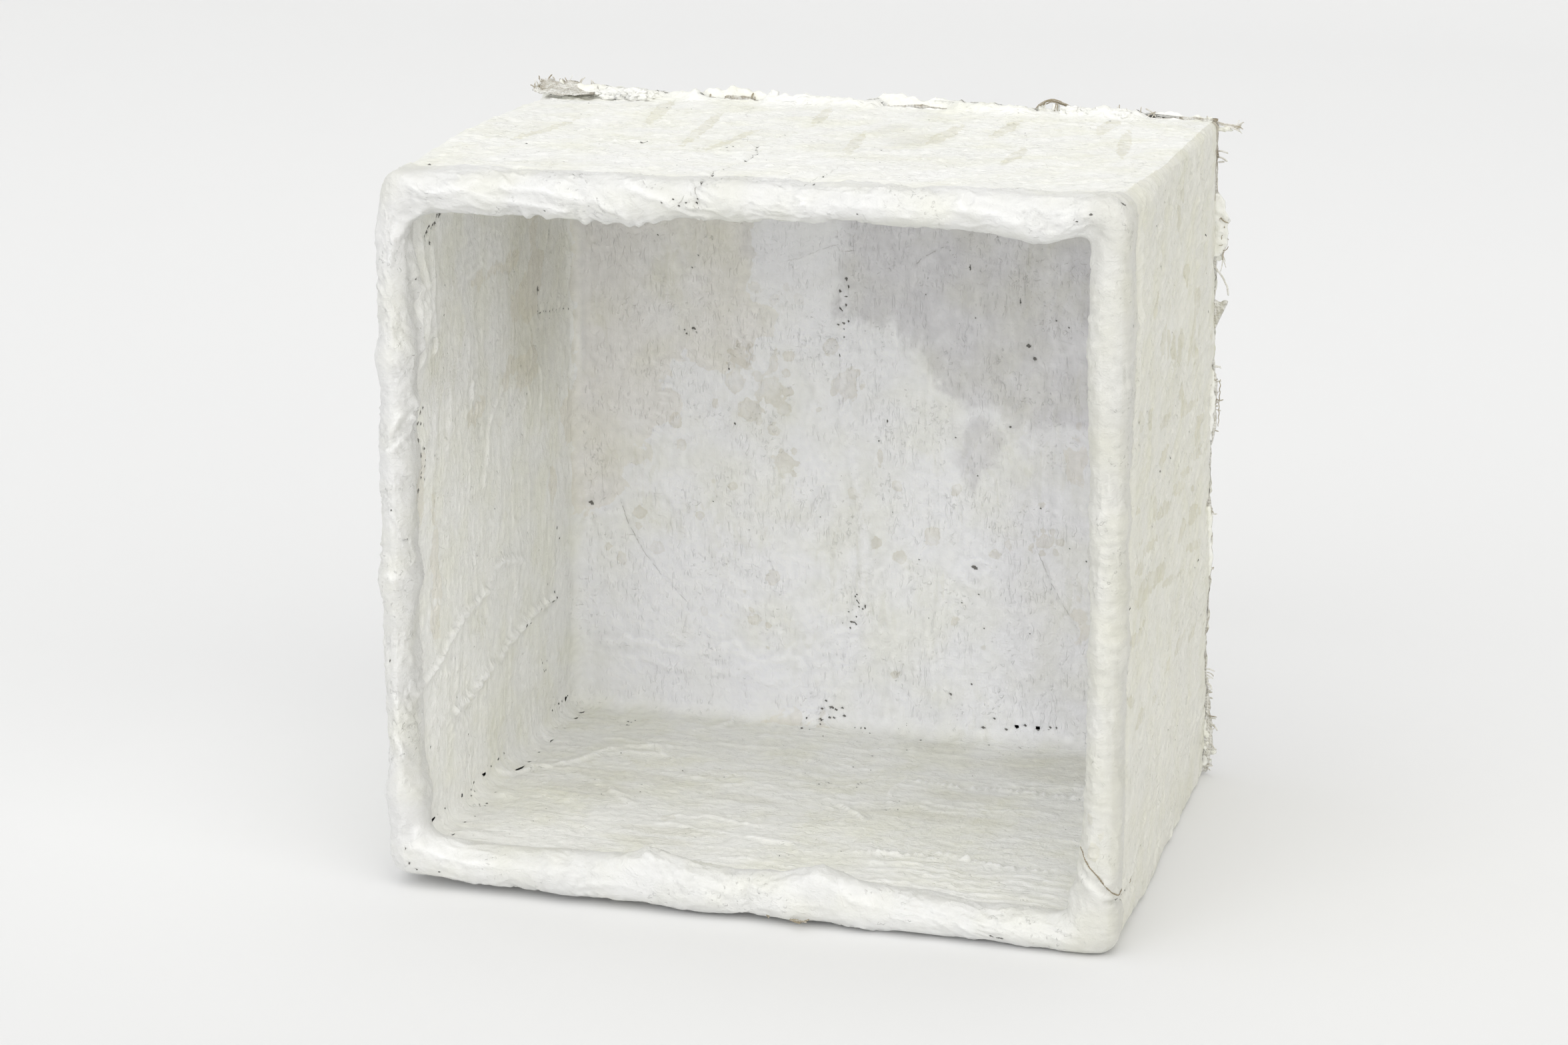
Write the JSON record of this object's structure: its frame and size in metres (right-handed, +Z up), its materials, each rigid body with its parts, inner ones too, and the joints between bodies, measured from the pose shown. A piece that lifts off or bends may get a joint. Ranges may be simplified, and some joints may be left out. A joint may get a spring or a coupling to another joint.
{
  "type": "plaster box mould",
  "caption": "Open-fronted box mould of plaster laid by hand over jute scrim, with a thick rounded bead round its mouth.",
  "frame": {"origin": "middle of the base, on the face that the mould stands on", "axes": "+X to the right of someone who faces the mouth, +Y from the mouth to the back, +Z up"},
  "size_m": [0.5821, 0.4449, 0.5646],
  "materials": {
    "plaster_outer": "matte",
    "plaster_inner": "matte",
    "plaster_rim": "satin",
    "scrim_jute": "matte",
    "yarn_jute": "matte"
  },
  "bodies": {
    "root": {"back_inner_coat": "plaster_inner", "back_outer_coat": "plaster_outer", "back_scrim_left": "scrim_jute", "back_scrim_right": "scrim_jute", "bottom_inner_coat": "plaster_inner", "bottom_outer_coat": "plaster_outer", "bottom_scrim": "scrim_jute", "cove_back_bottom": "plaster_inner", "cove_back_left": "plaster_inner", "cove_back_right": "plaster_inner", "cove_back_top": "plaster_inner", "cove_bottom_left": "plaster_inner", "cove_bottom_right": "plaster_inner", "cove_top_left": "plaster_inner", "cove_top_right": "plaster_inner", "crack_yarn": "yarn_jute", "left_inner_coat": "plaster_inner", "left_outer_coat": "plaster_outer", "left_scrim": "scrim_jute", "loose_yarn_front": "yarn_jute", "right_inner_coat": "plaster_inner", "right_outer_coat": "plaster_outer", "right_scrim": "scrim_jute", "rim_bead_bottom_left": "plaster_rim", "rim_bead_bottom_right": "plaster_rim", "rim_bead_left": "plaster_rim", "rim_bead_right": "plaster_rim", "rim_bead_right_foot": "plaster_rim", "rim_bead_top_left": "plaster_rim", "rim_bead_top_right": "plaster_rim", "rim_roll_bottom": "scrim_jute", "rim_roll_left": "scrim_jute", "rim_roll_right": "scrim_jute", "rim_roll_top": "scrim_jute", "scrim_rag_top_left": "scrim_jute", "top_back_lump_left": "plaster_outer", "top_back_lump_right": "plaster_outer", "top_inner_coat": "plaster_inner", "top_outer_coat": "plaster_outer", "top_scrim_left": "scrim_jute", "top_scrim_right": "scrim_jute"}
  },
  "joints": []
}
